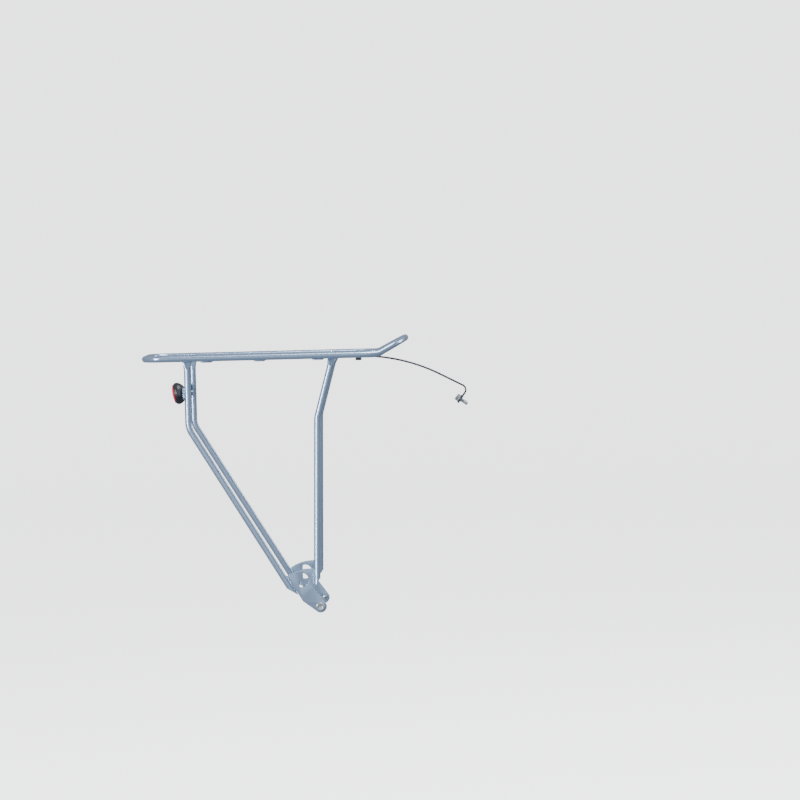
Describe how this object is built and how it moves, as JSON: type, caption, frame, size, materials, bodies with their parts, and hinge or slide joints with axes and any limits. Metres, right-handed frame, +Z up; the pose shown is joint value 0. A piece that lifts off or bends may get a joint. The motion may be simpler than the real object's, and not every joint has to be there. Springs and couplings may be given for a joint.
{
  "type": "bicycle rear rack",
  "caption": "Tubular rear luggage rack for a bicycle: flat loop platform on four legs, dropout plates with strap hook holes, a front stay and a round rear reflector.",
  "frame": {"origin": "midpoint between the axes of the two lower frame bolts, on the rack's middle plane", "axes": "+X forwards, towards the saddle; +Y to the bicycle's left; +Z up, square to the platform"},
  "size_m": [0.4774, 0.1674, 0.4016],
  "materials": {
    "silver_paint": "satin bluish silver powder coat",
    "zinc": "bright zinc plating",
    "dark_steel": "dark grey satin coating",
    "black_plastic": "moulded, semi-gloss",
    "red_lens": "clear red moulding with prisms behind"
  },
  "bodies": {
    "rack": {"platform_loop": "silver_paint", "cross_plate_rear": "silver_paint", "cross_plate_middle": "silver_paint", "cross_plate_front": "silver_paint", "stay_mount_plate": "silver_paint", "leg_rear_right": "silver_paint", "leg_rear_left": "silver_paint", "leg_front_right": "silver_paint", "leg_front_left": "silver_paint", "dropout_plate_right": "silver_paint", "dropout_plate_left": "silver_paint", "frame_bolt_right": "zinc", "frame_bolt_left": "zinc", "frame_washer_right": "zinc", "frame_washer_left": "zinc", "reflector_bar": "silver_paint", "reflector_housing": "black_plastic", "reflector_lens": "red_lens", "reflector_stud": "zinc", "reflector_washer": "zinc", "reflector_nut": "zinc"},
    "stay_clamp": {"stay_bolt": "dark_steel", "stay_washer": "zinc", "stay_nut": "zinc"},
    "stay": {"front_stay": "dark_steel", "bridge_bolt": "zinc", "bridge_washer": "zinc"}
  },
  "joints": [
    {"name": "stay_swivel", "type": "hinge", "parent": "rack", "child": "stay_clamp", "pos_m": [0.0628, 0, 0.3624], "axis": [0, 0, 1], "range_deg": [-12, 12]},
    {"name": "stay_slide", "type": "slide", "parent": "stay_clamp", "child": "stay", "axis": [1, 0, 0], "range_m": [-0.006, 0.01]}
  ]
}
